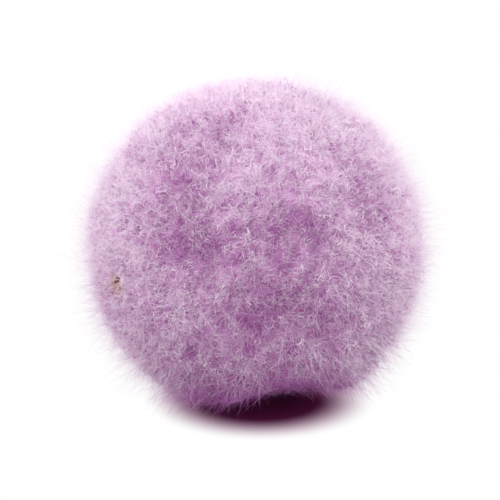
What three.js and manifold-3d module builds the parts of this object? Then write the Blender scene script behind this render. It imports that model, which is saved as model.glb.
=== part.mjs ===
// A craft pompom: a ball of cut, crimped fibre that a knotted thread gathers at its middle.
// Sizes are in millimetres and +Z is up. The origin is the middle of the flat spot that the
// pompom rests on, and -Y is its front.

import * as THREE from "three";
import { mergeVertices } from "three/addons/utils/BufferGeometryUtils.js";
import Module from "manifold-3d";

// Ball
const BALL_DIAMETER = 23.4; // over the tips of the tallest locks, which loose fuzz outreaches
const REST_DIAMETER = 7; // flat spot where the pile is pressed against what it stands on

// Locks of fibre, each a three-sided point on one facet of a geodesic ball
const LOCKS_ALONG_EDGE = 12; // the ball has 20 times the square of this many locks
const LOCK_HEIGHT = 1; // from the foot of a lock to its tip
const LOCK_UNEVENNESS = 0.4; // the shortest lock is lower by this share of the height
const LOCK_SWEEP = 0.7; // how far a tip leans, as a share of the lock's own half width
const LOCK_TWIST = 0.5; // the share of that lean in which neighbours differ
const SWEEP_WAVES = 9; // how often the lean changes direction round the ball

// Uneven pile: broad swells, tufts of several locks, and hollows where the tufts part
const SWELL_DEPTH = 0.2;
const SWELL_WAVES = 5;
const TUFT_DEPTH = 0.25;
const TUFT_WAVES = 21;
const HOLLOW_DEPTH = 0.6;
const HOLLOW_WIDTH = 8; // degrees, from the middle of a hollow to its slope
// Hollows in front, in degrees to the right of the front and above the horizon
const FRONT_HOLLOWS = [
  { right: -34, up: 15 },
  { right: -31, up: 25 },
  { right: -33, up: 36 },
  { right: -21, up: 10 },
  { right: -20, up: 53 },
  { right: 54, up: 22 },
  { right: 47, up: 32 },
  { right: -26, up: -47 },
  { right: -1, up: -13 },
  { right: 9, up: -7 },
  { right: 9, up: 20 },
  { right: 20, up: 18 },
  { right: 24, up: -16 },
  { right: 33, up: -57 },
];
const BACK_HOLLOWS = 13; // spread evenly over the rest of the ball

// Pile pressed solid underneath, where the locks splay outwards round the flat spot
const PRESS_FADE = 12; // degrees, from the edge of the flat spot to pile that isn't pressed
const SPLAY = 0.8; // how much of the lean turns outwards there

// Thread wound round the waist of the bundle, with a knot at the back
const WAIST_DIAMETER = 6; // of the gathered fibre inside the winding
const THREAD_DIAMETER = 0.5;
const THREAD_TURNS = 2;
const TURN_GAP = 0.1; // between one turn and the next
const THREAD_SIDES = 8;
const STEPS_PER_TURN = 32;
const KNOT_WIDTH = 1.4;
const KNOT_SIDES = 12;
const TAIL_GAP = 0.15; // between the two cut ends
const TAIL_DEPTH = 0.9; // from the tips of the pile in to the cut ends
const THREAD_CLEARANCE = 0.3; // between the thread and the fibre round it

// Finish
const PILE_COLOUR = 0xb98fb5; // lilac
const THREAD_COLOUR = 0x9a6f99; // a darker lilac
const FIBRE_ROUGHNESS = 0.9;

// Sizes that follow
const BALL_RADIUS = BALL_DIAMETER / 2;
const REST_RADIUS = REST_DIAMETER / 2;
const MEAN_DIP = (SWELL_DEPTH + TUFT_DEPTH + LOCK_UNEVENNESS * LOCK_HEIGHT) / 2;
const PILE_RADIUS = BALL_RADIUS - MEAN_DIP; // of the pile as the hand feels it
const CENTRE_HEIGHT = Math.sqrt(PILE_RADIUS ** 2 - REST_RADIUS ** 2);
const THREAD_RADIUS = THREAD_DIAMETER / 2;
const COIL_RADIUS = WAIST_DIAMETER / 2 + THREAD_CLEARANCE + THREAD_RADIUS;
const COIL_RISE = THREAD_TURNS * (THREAD_DIAMETER + TURN_GAP);
const KNOT_HEIGHT = COIL_RISE + THREAD_DIAMETER;
const TAIL_OFFSET = (THREAD_DIAMETER + TAIL_GAP) / 2;
const GOLDEN_SHARE = (Math.sqrt(5) - 1) / 2;
const FULL_TURN = 2 * Math.PI;
const DOWN = new THREE.Vector3(0, 0, -1);
const MERGE_DISTANCE = 1e-4;

const wasm = await Module();
wasm.setup();

function solidFrom(geometry) {
  geometry.deleteAttribute("normal");
  geometry.deleteAttribute("uv");
  const merged = mergeVertices(geometry, MERGE_DISTANCE);
  const mesh = new wasm.Mesh({
    numProp: 3,
    vertProperties: merged.getAttribute("position").array,
    triVerts: Uint32Array.from(merged.index.array),
  });
  return new wasm.Manifold(mesh);
}

function geometryFrom(solid) {
  const mesh = solid.getMesh();
  const geometry = new THREE.BufferGeometry();
  geometry.setAttribute("position", new THREE.BufferAttribute(mesh.vertProperties, mesh.numProp));
  geometry.setIndex(new THREE.BufferAttribute(mesh.triVerts, 1));
  geometry.computeVertexNormals();
  return geometry;
}

// Direction on the ball from degrees to the right of the front and above the horizon
function directionOf({ right, up }) {
  const turn = THREE.MathUtils.degToRad(right);
  const rise = THREE.MathUtils.degToRad(up);
  return new THREE.Vector3(
    Math.sin(turn) * Math.cos(rise),
    -Math.cos(turn) * Math.cos(rise),
    Math.sin(rise),
  );
}

function hollowDirections() {
  const directions = FRONT_HOLLOWS.map(directionOf);
  for (let i = 0; i < BACK_HOLLOWS; i++) {
    const height = 1 - (2 * i + 1) / BACK_HOLLOWS;
    const backHalf = 90 + 180 * ((i * GOLDEN_SHARE) % 1);
    const up = THREE.MathUtils.radToDeg(Math.asin(height));
    directions.push(directionOf({ right: backHalf, up }));
  }
  return directions;
}

const hollows = hollowDirections();

// How deep a hollow is at a direction: 1 in its middle, falling off to 0
function hollowShare(direction) {
  const slope = THREE.MathUtils.degToRad(HOLLOW_WIDTH);
  const depths = hollows.map((middle) => Math.exp(-((direction.angleTo(middle) / slope) ** 2)));
  return Math.max(...depths);
}

// Waves that cross the ball three ways: 0 on a crest and 1 between crests
function waveShare({ x, y, z }, waves) {
  const wave = (a, b) => Math.sin(waves * (a + GOLDEN_SHARE * b));
  const mean = (wave(x, y) + wave(y, z) + wave(z, x)) / 3;
  return (1 + mean) / 2;
}

// How firmly the pile is pressed: 1 over the flat spot, falling off to 0 round it
function pressedShare(direction) {
  const edge = Math.asin(REST_RADIUS / PILE_RADIUS);
  const free = edge + THREE.MathUtils.degToRad(PRESS_FADE);
  return 1 - THREE.MathUtils.smoothstep(direction.angleTo(DOWN), edge, free);
}

function footRadius(direction) {
  const swell = SWELL_DEPTH * waveShare(direction, SWELL_WAVES);
  const tuft = TUFT_DEPTH * waveShare(direction, TUFT_WAVES);
  const hollow = HOLLOW_DEPTH * hollowShare(direction);
  const loose = BALL_RADIUS - LOCK_HEIGHT - swell - tuft - hollow;
  return THREE.MathUtils.lerp(loose, PILE_RADIUS, pressedShare(direction));
}

// Lean of the pile: it changes slowly round the ball, with a small twist of each lock's own
function leanAt(direction, lockNumber) {
  const { x, y, z } = direction;
  const twist = FULL_TURN * ((lockNumber * GOLDEN_SHARE) % 1);
  const swept = new THREE.Vector3(
    Math.sin(SWEEP_WAVES * y),
    Math.sin(SWEEP_WAVES * z),
    Math.sin(SWEEP_WAVES * x),
  );
  const own = new THREE.Vector3(Math.cos(twist), Math.sin(twist), Math.cos(2 * twist));
  const outwards = new THREE.Vector3(x, y, 0).normalize();
  const lean = swept.lerp(own, LOCK_TWIST).lerp(outwards, SPLAY * pressedShare(direction));
  return lean.projectOnPlane(direction).clampLength(0, 1);
}

// Ball of locks about its own centre: each geodesic facet is drawn up into a leaning point
function lockBall() {
  const facets = new THREE.IcosahedronGeometry(1, LOCKS_ALONG_EDGE - 1).getAttribute("position");
  const points = [];
  for (let first = 0; first < facets.count; first += 3) {
    const corners = [0, 1, 2].map((k) => new THREE.Vector3().fromBufferAttribute(facets, first + k));
    const middle = new THREE.Vector3().add(corners[0]).add(corners[1]).add(corners[2]).divideScalar(3);
    const halfWidth = middle.distanceTo(corners[0]);
    const direction = middle.normalize();
    const lockNumber = first / 3;
    const shortfall = LOCK_UNEVENNESS * ((lockNumber * Math.SQRT2) % 1);
    const height = LOCK_HEIGHT * (1 - shortfall) * (1 - pressedShare(direction));
    const tipRadius = footRadius(direction) + height;
    const lean = leanAt(direction, lockNumber).multiplyScalar(LOCK_SWEEP * halfWidth);
    const tip = direction.clone().add(lean).setLength(tipRadius);
    const feet = corners.map((corner) => corner.clone().setLength(footRadius(corner)));
    for (let k = 0; k < 3; k++) {
      points.push(feet[k], feet[(k + 1) % 3], tip);
    }
  }
  return new THREE.BufferGeometry().setFromPoints(points);
}

// Everything under the surface that the pompom stands on
function underTable() {
  const depth = BALL_RADIUS;
  return new THREE.BoxGeometry(BALL_DIAMETER, BALL_DIAMETER, depth).translate(0, 0, -depth / 2);
}

// Round section of a thread, for sweeping along its path
function threadSection() {
  const circle = new THREE.EllipseCurve(0, 0, THREAD_RADIUS, THREAD_RADIUS);
  return new THREE.Shape(circle.getPoints(THREAD_SIDES));
}

// Winding round the waist, which starts and ends under the knot at the back
class WindingCurve extends THREE.Curve {
  getPoint(share, target = new THREE.Vector3()) {
    const angle = Math.PI / 2 + share * THREAD_TURNS * FULL_TURN;
    const height = (share - 0.5) * COIL_RISE;
    return target.set(COIL_RADIUS * Math.cos(angle), COIL_RADIUS * Math.sin(angle), height);
  }
}

function sweepThread(path, steps) {
  return new THREE.ExtrudeGeometry(threadSection(), { extrudePath: path, steps });
}

// Knot tied over the turns, grown all round by a margin
function knotShape(margin) {
  const knot = new THREE.SphereGeometry(1, KNOT_SIDES, KNOT_SIDES);
  knot.scale(KNOT_WIDTH / 2 + margin, KNOT_WIDTH / 2 + margin, KNOT_HEIGHT / 2 + margin);
  return knot.translate(0, COIL_RADIUS, 0);
}

function threadTail(side) {
  const start = new THREE.Vector3(side * TAIL_OFFSET, COIL_RADIUS, 0);
  const end = new THREE.Vector3(side * TAIL_OFFSET, BALL_RADIUS - TAIL_DEPTH, 0);
  return sweepThread(new THREE.LineCurve3(start, end), 1);
}

function bindingThread() {
  const winding = solidFrom(sweepThread(new WindingCurve(), THREAD_TURNS * STEPS_PER_TURN));
  const tails = [-1, 1].map((side) => solidFrom(threadTail(side)));
  return winding.add(solidFrom(knotShape(0))).add(tails[0]).add(tails[1]);
}

// Room for the winding: a ring of rectangular section
function windingRoom() {
  const inner = COIL_RADIUS - THREAD_RADIUS - THREAD_CLEARANCE;
  const outer = COIL_RADIUS + THREAD_RADIUS + THREAD_CLEARANCE;
  const half = COIL_RISE / 2 + THREAD_RADIUS + THREAD_CLEARANCE;
  const corners = [[inner, -half], [outer, -half], [outer, half], [inner, half], [inner, -half]];
  const profile = corners.map(([radius, height]) => new THREE.Vector2(radius, height));
  return new THREE.LatheGeometry(profile, STEPS_PER_TURN).rotateX(Math.PI / 2);
}

// Room for the two cut ends: a round channel from the knot out through the pile
function tailRoom() {
  const radius = TAIL_OFFSET + THREAD_RADIUS + THREAD_CLEARANCE;
  const length = BALL_RADIUS - COIL_RADIUS + LOCK_HEIGHT;
  const channel = new THREE.CylinderGeometry(radius, radius, length, 2 * THREAD_SIDES);
  return channel.translate(0, COIL_RADIUS + length / 2, 0);
}

function pile() {
  const ball = solidFrom(lockBall().translate(0, 0, CENTRE_HEIGHT));
  const pressed = ball.subtract(solidFrom(underTable()));
  const rooms = [windingRoom(), knotShape(THREAD_CLEARANCE), tailRoom()];
  const roomSolids = rooms.map((room) => solidFrom(room.translate(0, 0, CENTRE_HEIGHT)));
  return roomSolids.reduce((rest, room) => rest.subtract(room), pressed);
}

function piece(name, solid, color) {
  const material = new THREE.MeshStandardMaterial({ color, roughness: FIBRE_ROUGHNESS, metalness: 0 });
  const mesh = new THREE.Mesh(geometryFrom(solid), material);
  mesh.name = name;
  return mesh;
}

const pompom = new THREE.Group();
pompom.add(piece("pile", pile(), PILE_COLOUR));
const thread = piece("binding_thread", bindingThread(), THREAD_COLOUR);
thread.position.z = CENTRE_HEIGHT;
pompom.add(thread);

export default pompom;
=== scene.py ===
"""Looks of a craft pompom: a ball of crimped lilac fibre on a white table."""

import math
import random
from collections import namedtuple

import bmesh
import bpy
import numpy as np
from bpy.props import FloatProperty, FloatVectorProperty, IntProperty, PointerProperty
from bpy.types import Operator, Panel, PropertyGroup
from mathutils import Matrix, Vector, noise
from mathutils.bvhtree import BVHTree


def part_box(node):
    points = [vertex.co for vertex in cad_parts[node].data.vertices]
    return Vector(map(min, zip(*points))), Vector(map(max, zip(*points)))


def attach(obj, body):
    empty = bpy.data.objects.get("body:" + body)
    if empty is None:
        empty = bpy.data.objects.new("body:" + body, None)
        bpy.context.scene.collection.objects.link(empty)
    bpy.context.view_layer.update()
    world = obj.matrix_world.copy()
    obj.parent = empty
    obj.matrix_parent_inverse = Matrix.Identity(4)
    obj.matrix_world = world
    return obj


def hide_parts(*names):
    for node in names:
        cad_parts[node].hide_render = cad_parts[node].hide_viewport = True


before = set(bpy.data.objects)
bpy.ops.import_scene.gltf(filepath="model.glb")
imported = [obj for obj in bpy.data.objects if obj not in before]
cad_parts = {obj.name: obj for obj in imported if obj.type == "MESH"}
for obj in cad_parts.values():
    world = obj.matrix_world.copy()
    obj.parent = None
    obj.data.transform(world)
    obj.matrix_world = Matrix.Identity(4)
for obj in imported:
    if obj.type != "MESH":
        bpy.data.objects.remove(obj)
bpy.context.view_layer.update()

bl_info = {
    "name": "Pompom",
    "version": (1, 0, 0),
    "blender": (4, 5, 0),
    "location": "View3D > Sidebar > Pompom",
    "description": "Grows the fibre of a craft pompom round its solid pile",
    "category": "Object",
}

# Sizes that the frame gives, in metres
MM = 0.001
PILE_LOW, PILE_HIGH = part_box("pile")
THREAD_LOW, THREAD_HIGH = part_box("binding_thread")
CENTRE = Vector((0, 0, (THREAD_LOW.z + THREAD_HIGH.z) / 2))
BALL_RADIUS = (PILE_HIGH.x - PILE_LOW.x) / 2
COAT_RADIUS = BALL_RADIUS - 0.3 * MM
CRUMB_RADIUS = BALL_RADIUS - 0.15 * MM

# The photograph's frame, in pixels
IMAGE_SIZE = 500
BALL_CENTRE_PX = (255, 246.8)
BALL_RADIUS_PX = 171.2
METRES_PER_PIXEL = BALL_RADIUS / BALL_RADIUS_PX
STAIN_PX = (115.5, 285)

# Crumbs of dirt: the pixel that each is seen at, and its radius
CRUMBS = (
    ((117.5, 279.5), 0.16 * MM),
    ((115, 282), 0.09 * MM),
    ((118.5, 285.5), 0.06 * MM),
    ((119.5, 288), 0.05 * MM),
    ((112.7, 293), 0.07 * MM),
)
CRUMB_SUBDIVISIONS = 3
CRUMB_UNEVENNESS = 0.5

FULL_TURN = 2 * math.pi
GOLDEN_ANGLE = math.pi * (3 - math.sqrt(5))
TINY = 1e-9

# Dense core: the solid pile, smoothed outside its waist, whose low places are its hollows
WELD_DISTANCE = 0.001 * MM
OUTER_SHARE = 0.75
SMOOTH_ROUNDS = 6
SMOOTH_FACTOR = 0.5
HOLLOW_DEPTH = 0.5 * MM

# How a kind of fibre grows: its rings at shares of its length, its least and greatest length as shares of
# its kind's, the tilt at its root and how that varies, the least and greatest bend at a ring, in radians,
# and the value "along" at its root and tip
Growth = namedtuple("Growth", "rings lengths tilt curl along")
COAT_GROWTH = Growth((0.4, 0.72, 1.0), (0.7, 1.3), (0.9, 0.3), (0.7, 1.6), (0, 1))
FUZZ_GROWTH = Growth((0.45, 0.74, 1.0), (0.4, 1.0), (0.4, 0.3), (0.9, 1.9), (0.4, 0.8))
HAIR_GROWTH = Growth((1.0,), (0.3, 1.0), (0.7, 0.35), (0, 0), (1, 1.8))
FIBRE_SIDES = 3
RING_TWIST = 0.9

# Tufts: the waves of their lean over the ball, how they vary in size and paleness, and the gap that keeps
# the seeds of their patterns apart
LEAN_WAVES = 4.5
FINE_LEAN_WAVES = 11
FINE_LEAN_SHARE = 0.5
TUFT_SIZES = (0.75, 1.2)
TUFT_UNEVENNESS = 0.12
SEED_STEP = 1000

# Pieces of the free pile, and the way that each faces
ZONES = {
    "pile_right": Vector((1, 0, 0)),
    "pile_left": Vector((-1, 0, 0)),
    "pile_back": Vector((0, 1, 0)),
    "pile_front": Vector((0, -1, 0)),
    "pile_top": Vector((0, 0, 1)),
    "pile_under": Vector((0, 0, -1)),
}

# Mouth of the thread's tunnel at the back, which the fibre closes over
MOUTH_ANGLE = math.radians(7)
MOUTH_DEPTH = 0.25 * MM

# Underside of the pile: an arch at the front, a lift of all the front but its left, and small waves
ARCH_HEIGHT = 2 * MM
ARCH_RIGHT = 2.2 * MM
ARCH_WIDTH = 3 * MM
ARCH_FADE = 3 * MM
ARCH_MIDDLE = 0.35
FRONT_LIFT = 0.8 * MM
LIFT_FROM = -3.5 * MM
LIFT_FADE = 1 * MM
WAVE_HEIGHT = 0.35 * MM
WAVE_SCALE = 0.8 * MM
WAVE_STRETCH = 1.3
WAVE_SHIFT = 1

# Painted shade towards the underside: the colour deepens more and more down the ball, most of all at the
# fringe; and what comes near the underside is pressed outwards
PRESSED_SPREAD = 0.2
UNDERSIDE_SHADE = 0.8
UNDERSIDE_SHADE_REACH = 20 * MM
UNDERSIDE_SHADE_FADE = 1.5
FRINGE_SHADE = 2.2
FRINGE_SHADE_REACH = 0.9 * MM

# The bake map: each fibre fills its own square of it up to an edge, and one corner of the cap at its root
# rises a little
BAKE_MAP = "OFBake"
SQUARE_EDGE = 0.1
CAP_RISE = 0.1

# Paleness, from 0 for deep to 1 for pale: the span of each of its causes, and what it adds at either end.
# The noises and single fibres vary it at random; the value "hollow" is painted shade in the hollows and
# towards the underside; the value "along" is painted shade at the roots and painted light at the tips
NOISE_SPAN = (0.25, 0.75)
BROAD_PATCH = 4 * MM
BROAD_DETAIL = 1
BROAD_PALENESS = (0.15, 0.35)
FINE_PATCH = 0.9 * MM
FINE_DETAIL = 3
FINE_PALENESS = (-0.45, 0.95)
HOLLOW_SPAN = (0, 3)
PAINTED_SHADE_PALENESS = (0.55, -2.15)
ALONG_SPAN = (0, 2)
ALONG_SHADE_AND_LIGHT = (-0.15, 1.25)
SINGLE_SPAN = (0, 0.6)
SINGLE_PALENESS = (-0.9, 0.3)

# Painted light that whitens the hairs towards their tips, by their value "along"; and the stain, by the
# distance from its middle
HAIR_LIGHT_SPAN = (1.0, 1.5)
STAIN_SPAN = (0.25 * MM, 0.9 * MM)
STAIN_STRENGTH = (0.75, 0)

# Finishes
FIBRE_ROUGHNESS = 0.5
FIBRE_GLOSS = 0.2
WALL_GAMMA = 0.2
LIGHT_THROUGH = 0.35
CORE_ROUGHNESS = 0.9
CORE_GLOSS = 0.2
CORE_GRAIN = 0.2 * MM
CORE_GRAIN_DETAIL = 3
CORE_BUMP = 0.6
CORE_BUMP_HEIGHT = 0.1 * MM
THREAD_ROUGHNESS = 0.6
THREAD_GLOSS = 0.5
THREAD_TWIST_SCALE = 1.2 * MM
THREAD_WOBBLE = 1.5
THREAD_SHADE = 0.6
THREAD_BUMP = 1
THREAD_BUMP_HEIGHT = 0.05 * MM
DIRT_ROUGHNESS = 0.85
DIRT_GLOSS = 0.5
DIRT_GRAIN = 0.12 * MM
DIRT_GRAIN_DETAIL = 2
DIRT_GRAIN_SPAN = (0.4, 0.7)
DIRT_PALER = 2.5

# Stage, in metres
LAMP_SIZE = 0.3
FRONT_LAMP_AT = (-0.06, -0.34, 0.14)
TOP_LAMP_AT = (0.12, -0.02, 0.34)
LEFT_LAMP_AT = (-0.34, 0.16, 0.14)
RIGHT_LAMP_AT = (0.32, 0.18, 0.22)
TABLE_REACH = 3
# Painted shadow on the table round the ball: dark purple paint, and a purple glow where it fades to white
SHADE_AT = (0.4 * MM, 1 * MM, 0)
SHADE_SQUEEZE = (1, 0.72, 1)
SHADE_RADIUS = 3.8 * MM
CLEAR_RADIUS = 7.9 * MM
PAINTED_SHADOW = (0.16, 0.02, 0.09, 1)
TABLE_PAINT = (0.45, 0.41, 0.45, 1)
PAINTED_SHADOW_GLOW = (0.7, 0.4, 0.6, 1)
WHITE = (1, 1, 1, 1)

# Camera: its sensor in millimetres, and the nearest and furthest that it sees as shares of its distance
SENSOR_WIDTH = 36
NEAREST_SEEN = 0.1
FURTHEST_SEEN = 100

# Sockets of a Mix node for its factor and its two colours, and for the colour that results
MIX_INPUTS = (0, 6, 7)
MIX_RESULT = 2


class PompomFibre(PropertyGroup):
    """Sizes and counts of the fibre"""

    tufts: IntProperty(name="Tufts", description="Tufts planted over the ball", default=1120, min=6)
    patterns: IntProperty(
        name="Patterns", description="Different tufts, planted by turns", default=24, min=1
    )
    coat_fibres: IntProperty(
        name="Coat fibres", description="Short, curled fibres in a tuft", default=28, min=1
    )
    coat_length: FloatProperty(
        name="Coat length", description="Length of a short fibre", default=0.65 * MM, unit="LENGTH"
    )
    coat_thickness: FloatProperty(
        name="Coat thickness", description="Thickness of a short fibre", default=0.096 * MM, unit="LENGTH"
    )
    fuzz_fibres: IntProperty(
        name="Fuzz fibres", description="Fine, hooked fibres in a tuft", default=16, min=0
    )
    fuzz_length: FloatProperty(
        name="Fuzz length",
        description="Length of the longest hooked fibre",
        default=1.7 * MM,
        unit="LENGTH",
    )
    fuzz_thickness: FloatProperty(
        name="Fuzz thickness", description="Thickness of a hooked fibre", default=0.025 * MM, unit="LENGTH"
    )
    hair_fibres: IntProperty(
        name="Hair fibres", description="Finest and longest fibres in a tuft", default=38, min=0
    )
    hair_length: FloatProperty(
        name="Hair length", description="Length of the longest hair", default=3.3 * MM, unit="LENGTH"
    )
    hair_thickness: FloatProperty(
        name="Hair thickness", description="Thickness of a hair", default=0.019 * MM, unit="LENGTH"
    )
    tuft_radius: FloatProperty(
        name="Tuft radius", description="Reach of a tuft's roots", default=0.8 * MM, unit="LENGTH"
    )
    core_depth: FloatProperty(
        name="Core depth",
        description="From the solid pile's surface in to the dense core",
        default=0.05 * MM,
        unit="LENGTH",
    )
    lean: FloatProperty(name="Lean", description="How far tufts lean together", default=0.5, min=0)
    press_height: FloatProperty(
        name="Pressed height",
        description="Height over the underside below which the pile is pressed",
        default=0.7 * MM,
        unit="LENGTH",
    )
    seed: IntProperty(name="Seed", description="Seed of the random growth", default=23)


class PompomColour(PropertyGroup):
    """Colours of the fibre, the thread and the dirt"""

    pale: FloatVectorProperty(
        name="Pale", description="Fibre on the tufts", subtype="COLOR", default=(0.97, 0.81, 0.95)
    )
    deep: FloatVectorProperty(
        name="Deep", description="Fibre in the hollows", subtype="COLOR", default=(0.54, 0.16, 0.51)
    )
    # painted light: the near-white of the hairs' tips
    painted_hair_light: FloatVectorProperty(
        name="Painted hair light", description="Finest hairs on the tufts", subtype="COLOR", default=(0.985, 0.96, 0.985)
    )
    core_pale: FloatVectorProperty(
        name="Core pale", description="Dense core on the tufts", subtype="COLOR", default=(0.78, 0.50, 0.75)
    )
    core_deep: FloatVectorProperty(
        name="Core deep",
        description="Dense core in the hollows",
        subtype="COLOR",
        default=(0.48, 0.21, 0.46),
    )
    thread: FloatVectorProperty(
        name="Thread", description="Binding thread", subtype="COLOR", default=(0.323, 0.159, 0.319)
    )
    dirt: FloatVectorProperty(
        name="Dirt", description="Speck of dirt", subtype="COLOR", default=(0.09, 0.012, 0.005)
    )
    stain: FloatVectorProperty(
        name="Stain", description="Fibre stained by the dirt", subtype="COLOR", default=(0.64, 0.32, 0.1)
    )


class PompomStage(PropertyGroup):
    """Camera and light"""

    elevation: FloatProperty(
        name="Elevation",
        description="Camera's angle over the table",
        default=math.radians(12),
        subtype="ANGLE",
    )
    lens: FloatProperty(name="Lens", description="Focal length in millimetres", default=240)
    key_power: FloatProperty(name="Key power", description="Light in front, in watts", default=0.76)
    top_power: FloatProperty(name="Top power", description="Light overhead, in watts", default=0.35)
    rim_power: FloatProperty(name="Rim power", description="Light at either side, in watts", default=1.0)
    sky: FloatProperty(name="Sky", description="Strength of the light all round", default=0.7)


# Objects and the photograph's frame


def add_object(name, mesh, material):
    piece = bpy.data.objects.new(name, mesh)
    bpy.context.scene.collection.objects.link(piece)
    mesh.materials.clear()
    mesh.materials.append(material)
    return piece


def add_piece(name, mesh, material):
    piece = add_object(name, mesh, material)
    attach(piece, "root")
    return piece


def mesh_from(bm, name):
    mesh = bpy.data.meshes.new(name)
    bm.to_mesh(mesh)
    bm.free()
    return mesh


def camera_distance():
    """From the camera to the ball's centre, at which the ball fills its place in the photograph."""
    lens = bpy.context.scene.pompom_stage.lens
    return IMAGE_SIZE * METRES_PER_PIXEL * lens / SENSOR_WIDTH


def photo_point(pixel, radius):
    """Point on the front of the ball, at a radius, that a pixel of the photograph shows."""
    elevation = bpy.context.scene.pompom_stage.elevation
    right = (pixel[0] - BALL_CENTRE_PX[0]) * METRES_PER_PIXEL
    up = (BALL_CENTRE_PX[1] - pixel[1]) * METRES_PER_PIXEL
    near = math.sqrt(max(radius**2 - right**2 - up**2, 0))
    nearer = 1 - near / camera_distance()
    turned = Matrix.Rotation(-elevation, 3, "X") @ Vector((nearer * right, -near, nearer * up))
    return CENTRE + turned


# Nodes


def new_material(name):
    """An empty material; returns it with its nodes, its links and the place on the piece."""
    material = bpy.data.materials.new(name)
    material.use_nodes = True
    nodes = material.node_tree.nodes
    nodes.clear()
    place = nodes.new("ShaderNodeTexCoord").outputs["Object"]
    return material, nodes, material.node_tree.links, place


def show_surface(nodes, links, shader):
    """Makes a shader node the material's surface."""
    output = nodes.new("ShaderNodeOutputMaterial")
    links.new(shader.outputs[0], output.inputs["Surface"])


def with_alpha(colour):
    return (*colour, 1)


def feed(links, socket, value):
    """Sets an input to a value, or links it to another node's result."""
    if isinstance(value, bpy.types.NodeSocket):
        links.new(value, socket)
    else:
        socket.default_value = value


def mix_colour(nodes, links, factor, first, second):
    """A Mix node of two colours, each a socket or a value; returns its result socket."""
    node = nodes.new("ShaderNodeMix")
    node.data_type = "RGBA"
    node.clamp_factor = True
    for number, value in zip(MIX_INPUTS, (factor, first, second)):
        feed(links, node.inputs[number], value)
    return node.outputs[MIX_RESULT]


def mix_shaders(nodes, links, factor, first, second):
    """A Mix Shader node of two shader nodes, by a socket or a value; returns it."""
    node = nodes.new("ShaderNodeMixShader")
    feed(links, node.inputs[0], factor)
    links.new(first.outputs[0], node.inputs[1])
    links.new(second.outputs[0], node.inputs[2])
    return node


def map_range(nodes, links, value, span, results=(0, 1), shape="LINEAR"):
    """A Map Range node that takes the ends of a span to two results; returns its result socket."""
    node = nodes.new("ShaderNodeMapRange")
    node.interpolation_type = shape
    links.new(value, node.inputs["Value"])
    for name, end in zip(("From Min", "From Max", "To Min", "To Max"), (*span, *results)):
        node.inputs[name].default_value = end
    return node.outputs["Result"]


def join_values(nodes, links, operation, first, second):
    """A Math node on two sockets; returns its result socket."""
    node = nodes.new("ShaderNodeMath")
    node.operation = operation
    links.new(first, node.inputs[0])
    links.new(second, node.inputs[1])
    return node.outputs[0]


def vector_math(nodes, links, operation, vector, amount=(0, 0, 0)):
    """A Vector Math node on a socket and a fixed vector; returns it."""
    node = nodes.new("ShaderNodeVectorMath")
    node.operation = operation
    links.new(vector, node.inputs[0])
    node.inputs[1].default_value = amount
    return node


def noise_value(nodes, links, vector, wavelength, detail):
    node = nodes.new("ShaderNodeTexNoise")
    links.new(vector, node.inputs["Vector"])
    node.inputs["Scale"].default_value = 1 / wavelength
    node.inputs["Detail"].default_value = detail
    return node.outputs["Fac"]


def vertex_value(nodes, name):
    node = nodes.new("ShaderNodeAttribute")
    node.attribute_name = name
    return node.outputs["Fac"]


def background_rays(nodes, links):
    """1 for rays that show the plain background: to the camera, off gloss and through clear matter."""
    path = nodes.new("ShaderNodeLightPath")
    seen = path.outputs["Is Camera Ray"]
    for name in ("Is Glossy Ray", "Is Transmission Ray"):
        seen = join_values(nodes, links, "MAXIMUM", seen, path.outputs[name])
    return seen


def matter(nodes, links, colour, roughness, gloss):
    """A Principled node of a colour; returns it."""
    node = nodes.new("ShaderNodeBsdfPrincipled")
    links.new(colour, node.inputs["Base Color"])
    node.inputs["Roughness"].default_value = roughness
    node.inputs["Specular IOR Level"].default_value = gloss
    return node


def add_bump(nodes, links, surface, height, strength, distance):
    bump = nodes.new("ShaderNodeBump")
    bump.inputs["Strength"].default_value = strength
    bump.inputs["Distance"].default_value = distance
    links.new(height, bump.inputs["Height"])
    links.new(bump.outputs["Normal"], surface.inputs["Normal"])


# Materials


def paleness(nodes, links, place):
    """How pale the pile is: uneven at every size down to a few fibres, and deeper where shade is painted.
    """
    broad_noise = noise_value(nodes, links, place, BROAD_PATCH, BROAD_DETAIL)
    broad = map_range(nodes, links, broad_noise, NOISE_SPAN, BROAD_PALENESS)
    fine_noise = noise_value(nodes, links, place, FINE_PATCH, FINE_DETAIL)
    fine = map_range(nodes, links, fine_noise, NOISE_SPAN, FINE_PALENESS)
    # painted shade: the value "hollow" deepens the colour in the hollows and towards the underside
    shade = map_range(nodes, links, vertex_value(nodes, "hollow"), HOLLOW_SPAN, PAINTED_SHADE_PALENESS)
    tufted = join_values(nodes, links, "ADD", broad, fine)
    return join_values(nodes, links, "ADD", tufted, shade)


def stain(nodes, links, place, clean, colour):
    """The clean colour, stained round the crumbs of dirt."""
    gap = vector_math(nodes, links, "DISTANCE", place, photo_point(STAIN_PX, COAT_RADIUS))
    strength = map_range(nodes, links, gap.outputs["Value"], STAIN_SPAN, STAIN_STRENGTH)
    return mix_colour(nodes, links, strength, clean, with_alpha(colour.stain))


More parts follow.
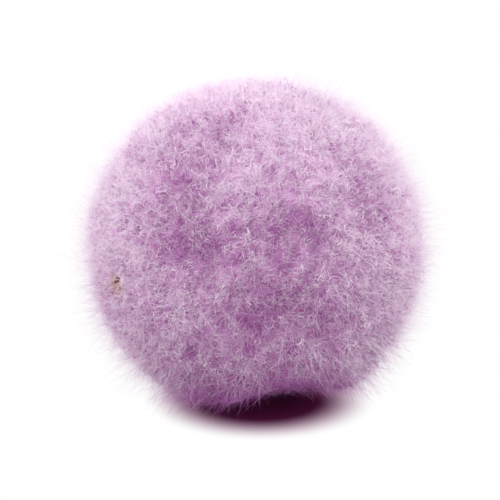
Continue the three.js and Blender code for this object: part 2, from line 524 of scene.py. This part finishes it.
def fibre_material(colour):
    """Fibre: translucent, with painted light towards its tip, uneven from tuft to tuft and from fibre to
    fibre.

    Light crosses many thin walls on its way through the pile, so one wall tints it only faintly.
    """
    material, nodes, links, place = new_material("crimped_fibre")
    along = vertex_value(nodes, "along")
    # painted shade deep at the roots, and painted light towards the tips, palest on the hairs
    grown = map_range(nodes, links, along, ALONG_SPAN, ALONG_SHADE_AND_LIGHT)
    island = nodes.new("ShaderNodeNewGeometry").outputs["Random Per Island"]
    single = map_range(nodes, links, island, SINGLE_SPAN, SINGLE_PALENESS)
    tone = join_values(nodes, links, "ADD", paleness(nodes, links, place), grown)
    tone = join_values(nodes, links, "ADD", tone, single)
    # painted light: the hairs whiten towards their tips
    hair_lit = map_range(nodes, links, along, HAIR_LIGHT_SPAN)
    tip = mix_colour(nodes, links, hair_lit, with_alpha(colour.pale), with_alpha(colour.painted_hair_light))
    clean = mix_colour(nodes, links, tone, with_alpha(colour.deep), tip)
    stained = stain(nodes, links, place, clean, colour)
    surface = matter(nodes, links, stained, FIBRE_ROUGHNESS, FIBRE_GLOSS)
    one_wall = nodes.new("ShaderNodeGamma")
    one_wall.inputs["Gamma"].default_value = WALL_GAMMA
    links.new(stained, one_wall.inputs["Color"])
    through = nodes.new("ShaderNodeBsdfTranslucent")
    links.new(one_wall.outputs["Color"], through.inputs["Color"])
    show_surface(nodes, links, mix_shaders(nodes, links, LIGHT_THROUGH, surface, through))
    return material


def core_material(colour):
    """Dense fibre under the free pile: matt, mottled like the fibre over it, with the same painted shade.
    """
    material, nodes, links, place = new_material("dense_fibre")
    tone = paleness(nodes, links, place)
    clean = mix_colour(nodes, links, tone, with_alpha(colour.core_deep), with_alpha(colour.core_pale))
    surface = matter(nodes, links, stain(nodes, links, place, clean, colour), CORE_ROUGHNESS, CORE_GLOSS)
    grain = noise_value(nodes, links, place, CORE_GRAIN, CORE_GRAIN_DETAIL)
    add_bump(nodes, links, surface, grain, CORE_BUMP, CORE_BUMP_HEIGHT)
    show_surface(nodes, links, surface)
    return material


def thread_material(colour):
    """Twisted sewing thread, with painted shade in the grooves of its twist."""
    material, nodes, links, place = new_material("twisted_thread")
    wave = nodes.new("ShaderNodeTexWave")
    wave.bands_direction = "DIAGONAL"
    wave.inputs["Scale"].default_value = 1 / THREAD_TWIST_SCALE
    wave.inputs["Distortion"].default_value = THREAD_WOBBLE
    links.new(place, wave.inputs["Vector"])
    twist = wave.outputs["Fac"]
    dark = [THREAD_SHADE * part for part in colour.thread]
    base = mix_colour(nodes, links, twist, with_alpha(dark), with_alpha(colour.thread))
    surface = matter(nodes, links, base, THREAD_ROUGHNESS, THREAD_GLOSS)
    add_bump(nodes, links, surface, twist, THREAD_BUMP, THREAD_BUMP_HEIGHT)
    show_surface(nodes, links, surface)
    return material


def dirt_material(colour):
    """Dry dirt: dark brown with paler grains."""
    material, nodes, links, place = new_material("dry_dirt")
    grain_noise = noise_value(nodes, links, place, DIRT_GRAIN, DIRT_GRAIN_DETAIL)
    grain = map_range(nodes, links, grain_noise, DIRT_GRAIN_SPAN)
    pale = [DIRT_PALER * part for part in colour.dirt]
    base = mix_colour(nodes, links, grain, with_alpha(colour.dirt), with_alpha(pale))
    show_surface(nodes, links, matter(nodes, links, base, DIRT_ROUGHNESS, DIRT_GLOSS))
    return material


def table_material():
    """White table with a painted purple shadow close by, over the real one, and plain white further off."""
    material, nodes, links, place = new_material("white_table")
    from_shade = vector_math(nodes, links, "SUBTRACT", place, SHADE_AT).outputs["Vector"]
    squeezed = vector_math(nodes, links, "MULTIPLY", from_shade, SHADE_SQUEEZE).outputs["Vector"]
    far = vector_math(nodes, links, "LENGTH", squeezed).outputs["Value"]
    clear = map_range(nodes, links, far, (SHADE_RADIUS, CLEAR_RADIUS), shape="SMOOTHSTEP")
    seen = join_values(nodes, links, "MULTIPLY", clear, background_rays(nodes, links))
    paint = nodes.new("ShaderNodeBsdfDiffuse")
    # painted shadow: dark purple paint close by, and a purple-tinted glow where it fades
    links.new(mix_colour(nodes, links, clear, PAINTED_SHADOW, TABLE_PAINT), paint.inputs["Color"])
    glow = nodes.new("ShaderNodeEmission")
    links.new(mix_colour(nodes, links, clear, PAINTED_SHADOW_GLOW, WHITE), glow.inputs["Color"])
    show_surface(nodes, links, mix_shaders(nodes, links, seen, paint, glow))
    return material


# Growing the fibre


def grid_squares(count):
    """Left, bottom and size of equal squares that share out the unit square."""
    side = math.ceil(math.sqrt(count))
    for number in range(count):
        yield (number % side) / side, (number // side) / side, 1 / side


def vert_below(vert, spots):
    """The vertex that a vertex was extruded from, which has its spot already."""
    return next(edge.other_vert(vert) for edge in vert.link_edges if edge.other_vert(vert) in spots)


def map_fibre(spots, bake_map, square):
    """Lays a fibre's faces out in its square of the bake map, by the spot that each vertex has there."""
    left, bottom, size = square
    filled = 1 - 2 * SQUARE_EDGE
    for face in {face for vert in spots if vert.is_valid for face in vert.link_faces}:
        for loop in face.loops:
            across, up = spots[loop.vert]
            loop[bake_map].uv = (
                left + size * (SQUARE_EDGE + filled * across),
                bottom + size * (SQUARE_EDGE + filled * up),
            )


def grow_fibre(bm, rng, growth, reach, kind_length, thickness, square):
    """One crimped fibre of a tuft: a three-sided tube that bends over as it grows and ends in a point."""
    along = bm.verts.layers.float["along"]
    length = kind_length * rng.uniform(*growth.lengths)
    tilt = rng.gauss(*growth.tilt)
    curl = rng.uniform(*growth.curl)
    out = reach * math.sqrt(rng.random())
    angle = rng.uniform(0, FULL_TURN)
    root = Vector((out * math.cos(angle), out * math.sin(angle), 0))
    turn = rng.uniform(0, FULL_TURN)
    bend_axis = Vector((math.cos(turn), math.sin(turn), 0))
    heading = Matrix.Rotation(tilt, 3, bend_axis) @ Vector((0, 0, 1))

    ring = bmesh.ops.create_circle(bm, cap_ends=True, segments=FIBRE_SIDES, radius=thickness / 2)["verts"]
    bmesh.ops.rotate(bm, verts=ring, matrix=heading.to_track_quat("Z", "Y").to_matrix())
    bmesh.ops.translate(bm, verts=ring, vec=root)
    at_root, at_tip = growth.along
    spots = {ring[0]: (0, 0), ring[1]: (0.5, CAP_RISE), ring[2]: (1, 0)}
    for vert in ring:
        vert[along] = at_root
    centre = root
    grown = 0
    for share in growth.rings:
        around = (edge for vert in ring for edge in vert.link_edges if edge.other_vert(vert) in ring)
        edges = list(dict.fromkeys(around))
        made = bmesh.ops.extrude_edge_only(bm, edges=edges)["geom"]
        ring = [item for item in made if isinstance(item, bmesh.types.BMVert)]
        step = heading * (share - grown) * length
        centre = centre + step
        bmesh.ops.translate(bm, verts=ring, vec=step)
        bmesh.ops.rotate(bm, verts=ring, cent=centre, matrix=Matrix.Rotation(curl / 2, 3, bend_axis))
        heading = Matrix.Rotation(curl, 3, bend_axis) @ heading
        bend_axis.rotate(Matrix.Rotation(rng.uniform(-RING_TWIST, RING_TWIST), 3, heading))
        grown = share
        spots.update({vert: (spots[vert_below(vert, spots)][0], share) for vert in ring})
        for vert in ring:
            vert[along] = at_root + (at_tip - at_root) * share
    bmesh.ops.pointmerge(bm, verts=ring, merge_co=centre)
    tip = next(vert for vert in ring if vert.is_valid)
    spots[tip] = (0.5, 1)
    map_fibre(spots, bm.loops.layers.uv[BAKE_MAP], square)


def tuft_mesh(number, fibre):
    """One pattern of tuft, standing on the origin along +Z: a curled coat, hooked fuzz and fine hairs."""
    rng = random.Random(fibre.seed * SEED_STEP + number)
    bm = bmesh.new()
    bm.verts.layers.float.new("along")
    bm.verts.layers.float.new("hollow")
    bm.loops.layers.uv.new(BAKE_MAP)
    kinds = (
        (fibre.coat_fibres, COAT_GROWTH, fibre.coat_length, fibre.coat_thickness),
        (fibre.fuzz_fibres, FUZZ_GROWTH, fibre.fuzz_length, fibre.fuzz_thickness),
        (fibre.hair_fibres, HAIR_GROWTH, fibre.hair_length, fibre.hair_thickness),
    )
    squares = grid_squares(sum(count for count, *_ in kinds))
    for count, growth, kind_length, thickness in kinds:
        for _ in range(count):
            grow_fibre(bm, rng, growth, fibre.tuft_radius, kind_length, thickness, next(squares))
    bmesh.ops.recalc_face_normals(bm, faces=bm.faces)
    return mesh_from(bm, f"tuft_{number}")


def place_bake_map(mesh, square):
    """Moves a tuft's bake map into its own square of the piece's map."""
    left, bottom, size = square
    spots = np.empty(2 * len(mesh.loops), np.float32)
    layer = mesh.uv_layers[BAKE_MAP].uv
    layer.foreach_get("vector", spots)
    spots = spots.reshape(-1, 2) * size + np.array((left, bottom))
    layer.foreach_set("vector", spots.astype(np.float32).ravel())


def even_directions(count):
    """Directions spread evenly over a ball, on a spiral from its top to its bottom."""
    for number in range(count):
        height = 1 - (2 * number + 1) / count
        flat = math.sqrt(1 - height**2)
        turn = number * GOLDEN_ANGLE
        yield Vector((flat * math.cos(turn), flat * math.sin(turn), height))


def tuft_place(direction, foot, rng, fibre):
    """Matrix that stands a tuft on the core, leaning with its neighbours."""
    drift = noise.noise_vector(direction * LEAN_WAVES)
    drift += FINE_LEAN_SHARE * noise.noise_vector(direction * FINE_LEAN_WAVES)
    lean = (drift - drift.project(direction)) * fibre.lean
    axis = (direction + lean).normalized()
    turned = axis.to_track_quat("Z", "Y").to_matrix().to_4x4()
    spun = Matrix.Rotation(rng.uniform(0, FULL_TURN), 4, "Z")
    sized = Matrix.Scale(rng.uniform(*TUFT_SIZES), 4)
    return Matrix.Translation(foot) @ turned @ spun @ sized


def close_mouth(direction, foot, core_radius):
    """Foot of a tuft, lifted out of the thread's tunnel where the tuft stands over its mouth."""
    if direction.angle(ZONES["pile_back"]) > MOUTH_ANGLE:
        return foot
    distance = max((foot - CENTRE).length, core_radius - MOUTH_DEPTH)
    return CENTRE + direction * distance


def hollow_share(point, core_radius):
    """How deep in a hollow a point of the core lies, from 0 on the crests to 1."""
    depth = core_radius + HOLLOW_DEPTH / 2 - (point - CENTRE).length
    return min(max(depth / HOLLOW_DEPTH, 0), 1)


def underside_at(right, back):
    """Height of the pile's underside, which is uneven and arches up at the front, right of the middle."""
    wave = np.sin(right / WAVE_SCALE)
    wave = wave * np.cos(WAVE_STRETCH * back / WAVE_SCALE + WAVE_SHIFT)
    across = np.exp(-(((right - ARCH_RIGHT) / ARCH_WIDTH) ** 2))
    forward = np.clip(ARCH_MIDDLE - back / ARCH_FADE, 0, 1)
    lifted = FRONT_LIFT / (1 + np.exp((LIFT_FROM - right) / LIFT_FADE))
    return np.clip((ARCH_HEIGHT * across + lifted) * forward + WAVE_HEIGHT * wave, 0, None)


def underside_shade(point):
    """Painted shade: how near the underside a point of the core lies, as a share of a hollow's depth."""
    height = max(point.z - underside_at(point.x, point.y), 0)
    clear = min(height / UNDERSIDE_SHADE_REACH, 1)
    return UNDERSIDE_SHADE * (1 - clear) ** UNDERSIDE_SHADE_FADE


def set_shade_and_tone(mesh, values):
    mesh.attributes["hollow"].data.foreach_set("value", np.asarray(values, np.float32))


def press_up(mesh, height):
    """Presses what comes near the underside up and a little outwards, and deepens its colour as painted
    shade.
    """
    count = len(mesh.vertices)
    points = np.empty(count * 3, np.float32)
    mesh.vertices.foreach_get("co", points)
    points = points.reshape(count, 3)
    flat = np.linalg.norm(points[:, :2], axis=1, keepdims=True) + TINY
    underside = underside_at(points[:, 0], points[:, 1])
    depth = np.clip(underside + height - points[:, 2], 0, None)
    points[:, 2] = np.where(depth > 0, underside + height * np.exp(-depth / height), points[:, 2])
    shares = np.empty(count, np.float32)
    mesh.attributes["hollow"].data.foreach_get("value", shares)
    # painted shade: the colour deepens most at the fringe, next to the underside
    set_shade_and_tone(mesh, shares + FRINGE_SHADE * np.exp((underside - points[:, 2]) / FRINGE_SHADE_REACH))
    points[:, :2] += points[:, :2] / flat * depth[:, None] * PRESSED_SPREAD
    mesh.vertices.foreach_set("co", points.ravel())
    mesh.update()


def nearest_zone(direction):
    """Name of the piece that faces a direction most."""
    return max(ZONES, key=lambda name: ZONES[name].dot(direction))


# Stage


def make_table():
    material = table_material()
    bm = bmesh.new()
    bmesh.ops.create_grid(bm, x_segments=1, y_segments=1, size=TABLE_REACH)
    add_object("table", mesh_from(bm, "table"), material)


def make_lamp(name, power, place):
    """Large square lamp that faces the ball."""
    lamp = bpy.data.lights.new(name, "AREA")
    lamp.energy = power
    lamp.size = LAMP_SIZE
    light = bpy.data.objects.new(name, lamp)
    light.location = place
    light.rotation_euler = (CENTRE - light.location).to_track_quat("-Z", "Y").to_euler()
    bpy.context.scene.collection.objects.link(light)


def make_sky(stage):
    """Even light all round, which the camera sees as white."""
    world = bpy.data.worlds.new("white_room")
    world.use_nodes = True
    nodes = world.node_tree.nodes
    links = world.node_tree.links
    nodes.clear()
    light = nodes.new("ShaderNodeBackground")
    light.inputs["Color"].default_value = WHITE
    light.inputs["Strength"].default_value = stage.sky
    plain = nodes.new("ShaderNodeBackground")
    plain.inputs["Color"].default_value = WHITE
    both = mix_shaders(nodes, links, background_rays(nodes, links), light, plain)
    output = nodes.new("ShaderNodeOutputWorld")
    links.new(both.outputs[0], output.inputs["Surface"])
    bpy.context.scene.world = world


def make_camera(stage):
    """Camera at the photograph's angle, with the ball at its place in the frame."""
    distance = camera_distance()
    data = bpy.data.cameras.new("camera")
    data.lens = stage.lens
    data.sensor_width = SENSOR_WIDTH
    data.clip_start = NEAREST_SEEN * distance
    data.clip_end = FURTHEST_SEEN * distance
    toward = Vector((0, math.cos(stage.elevation), -math.sin(stage.elevation)))
    up = Vector((0, math.sin(stage.elevation), math.cos(stage.elevation)))
    middle = IMAGE_SIZE / 2
    aim = CENTRE + Vector((1, 0, 0)) * (middle - BALL_CENTRE_PX[0]) * METRES_PER_PIXEL
    aim += up * (BALL_CENTRE_PX[1] - middle) * METRES_PER_PIXEL
    camera = bpy.data.objects.new("camera", data)
    camera.location = aim - toward * distance
    camera.rotation_euler = toward.to_track_quat("-Z", "Y").to_euler()
    bpy.context.scene.collection.objects.link(camera)
    bpy.context.scene.camera = camera


# Operators, one for each piece or group of pieces


class POMPOM_OT_core(Operator):
    """Dense core that the free fibre stands on, from the solid pile with its points smoothed away"""

    bl_idname = "pompom.core"
    bl_label = "Core"

    def execute(self, context):
        fibre = context.scene.pompom_fibre
        bm = bmesh.new()
        bm.from_mesh(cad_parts["pile"].data)
        bmesh.ops.remove_doubles(bm, verts=bm.verts, dist=WELD_DISTANCE)
        outer = [vert for vert in bm.verts if (vert.co - CENTRE).length > OUTER_SHARE * BALL_RADIUS]
        for _ in range(SMOOTH_ROUNDS):
            bmesh.ops.smooth_vert(
                bm, verts=outer, factor=SMOOTH_FACTOR, use_axis_x=True, use_axis_y=True, use_axis_z=True
            )
        for vert in outer:
            inward = (CENTRE - vert.co).normalized()
            vert.co += inward * fibre.core_depth
        core_radius = sum((vert.co - CENTRE).length for vert in outer) / len(outer)
        bm.verts.layers.float.new("hollow")
        # painted shade: deeper colour in the hollows and towards the underside
        shares = [hollow_share(vert.co, core_radius) + underside_shade(vert.co) for vert in bm.verts]
        mesh = mesh_from(bm, "pile_core")
        set_shade_and_tone(mesh, shares)
        press_up(mesh, fibre.press_height)
        mesh.shade_smooth()
        core = add_piece("pile_core", mesh, core_material(context.scene.pompom_colour))
        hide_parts("pile")
        return {"FINISHED"}


class POMPOM_OT_pile(Operator):
    """Free fibre all over the ball, as one piece for each side"""

    bl_idname = "pompom.pile"
    bl_label = "Pile"

    def execute(self, context):
        fibre = context.scene.pompom_fibre
        rng = random.Random(fibre.seed)
        noise.seed_set(fibre.seed)
        tufts = [tuft_mesh(number, fibre) for number in range(fibre.patterns)]
        surface = BVHTree.FromObject(bpy.data.objects["pile_core"], context.evaluated_depsgraph_get())
        directions = list(even_directions(fibre.tufts))
        feet = [surface.ray_cast(CENTRE + way * 2 * BALL_RADIUS, -way)[0] for way in directions]
        core_radius = sum((foot - CENTRE).length for foot in feet) / len(feet)
        feet = [close_mouth(way, foot, core_radius) for way, foot in zip(directions, feet)]
        zones = [nearest_zone(way) for way in directions]
        squares = {name: grid_squares(zones.count(name)) for name in ZONES}
        patches = {name: bmesh.new() for name in ZONES}
        for number, (way, foot, zone) in enumerate(zip(directions, feet, zones)):
            tuft = tufts[number % len(tufts)].copy()
            # painted shade in the hollows and towards the underside, with a random change from tuft to tuft
            share = hollow_share(foot, core_radius) + underside_shade(foot)
            share += rng.uniform(-TUFT_UNEVENNESS, TUFT_UNEVENNESS)
            set_shade_and_tone(tuft, [share] * len(tuft.vertices))
            tuft.transform(tuft_place(way, foot, rng, fibre))
            place_bake_map(tuft, next(squares[zone]))
            patches[zone].from_mesh(tuft)
            bpy.data.meshes.remove(tuft)
        material = fibre_material(context.scene.pompom_colour)
        for name, bm in patches.items():
            mesh = mesh_from(bm, name)
            press_up(mesh, fibre.press_height)
            add_piece(name, mesh, material)
        for tuft in tufts:
            bpy.data.meshes.remove(tuft)
        return {"FINISHED"}


class POMPOM_OT_thread(Operator):
    """Finish of the binding thread"""

    bl_idname = "pompom.thread"
    bl_label = "Thread"

    def execute(self, context):
        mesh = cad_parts["binding_thread"].data
        mesh.materials.clear()
        mesh.materials.append(thread_material(context.scene.pompom_colour))
        return {"FINISHED"}


class POMPOM_OT_dirt(Operator):
    """Crumbs of dirt caught in the pile"""

    bl_idname = "pompom.dirt"
    bl_label = "Dirt"

    def execute(self, context):
        bm = bmesh.new()
        for pixel, radius in CRUMBS:
            crumb = bmesh.ops.create_icosphere(bm, subdivisions=CRUMB_SUBDIVISIONS, radius=radius)["verts"]
            place = photo_point(pixel, CRUMB_RADIUS)
            for vert in crumb:
                vert.co *= 1 + CRUMB_UNEVENNESS * noise.noise(place / radius + vert.co / radius)
            bmesh.ops.translate(bm, verts=crumb, vec=place)
        mesh = mesh_from(bm, "dirt_speck")
        add_piece("dirt_speck", mesh, dirt_material(context.scene.pompom_colour))
        return {"FINISHED"}


class POMPOM_OT_stage(Operator):
    """White table, soft lamps, light all round and the camera"""

    bl_idname = "pompom.stage"
    bl_label = "Stage"

    def execute(self, context):
        stage = context.scene.pompom_stage
        make_table()
        make_lamp("front_lamp", stage.key_power, FRONT_LAMP_AT)
        make_lamp("top_lamp", stage.top_power, TOP_LAMP_AT)
        make_lamp("left_lamp", stage.rim_power, LEFT_LAMP_AT)
        make_lamp("right_lamp", stage.rim_power, RIGHT_LAMP_AT)
        make_sky(stage)
        make_camera(stage)
        context.scene.view_settings.view_transform = "Standard"
        return {"FINISHED"}


# Panel and add-on


STEPS = (POMPOM_OT_core, POMPOM_OT_pile, POMPOM_OT_thread, POMPOM_OT_dirt, POMPOM_OT_stage)


class POMPOM_PT_panel(Panel):
    """Lists the steps that dress the pompom"""

    bl_idname = "POMPOM_PT_panel"
    bl_label = "Pompom"
    bl_space_type = "VIEW_3D"
    bl_region_type = "UI"
    bl_category = "Pompom"

    def draw(self, context):
        for step in STEPS:
            self.layout.operator(step.bl_idname)


CLASSES = (PompomFibre, PompomColour, PompomStage, *STEPS, POMPOM_PT_panel)


def register():
    for item in CLASSES:
        bpy.utils.register_class(item)
    bpy.types.Scene.pompom_fibre = PointerProperty(type=PompomFibre)
    bpy.types.Scene.pompom_colour = PointerProperty(type=PompomColour)
    bpy.types.Scene.pompom_stage = PointerProperty(type=PompomStage)


def unregister():
    del bpy.types.Scene.pompom_stage
    del bpy.types.Scene.pompom_colour
    del bpy.types.Scene.pompom_fibre
    for item in reversed(CLASSES):
        bpy.utils.unregister_class(item)


def main():
    register()
    bpy.ops.pompom.core()
    bpy.ops.pompom.pile()
    bpy.ops.pompom.thread()
    bpy.ops.pompom.dirt()
    bpy.ops.pompom.stage()


if __name__ == "__main__":
    main()
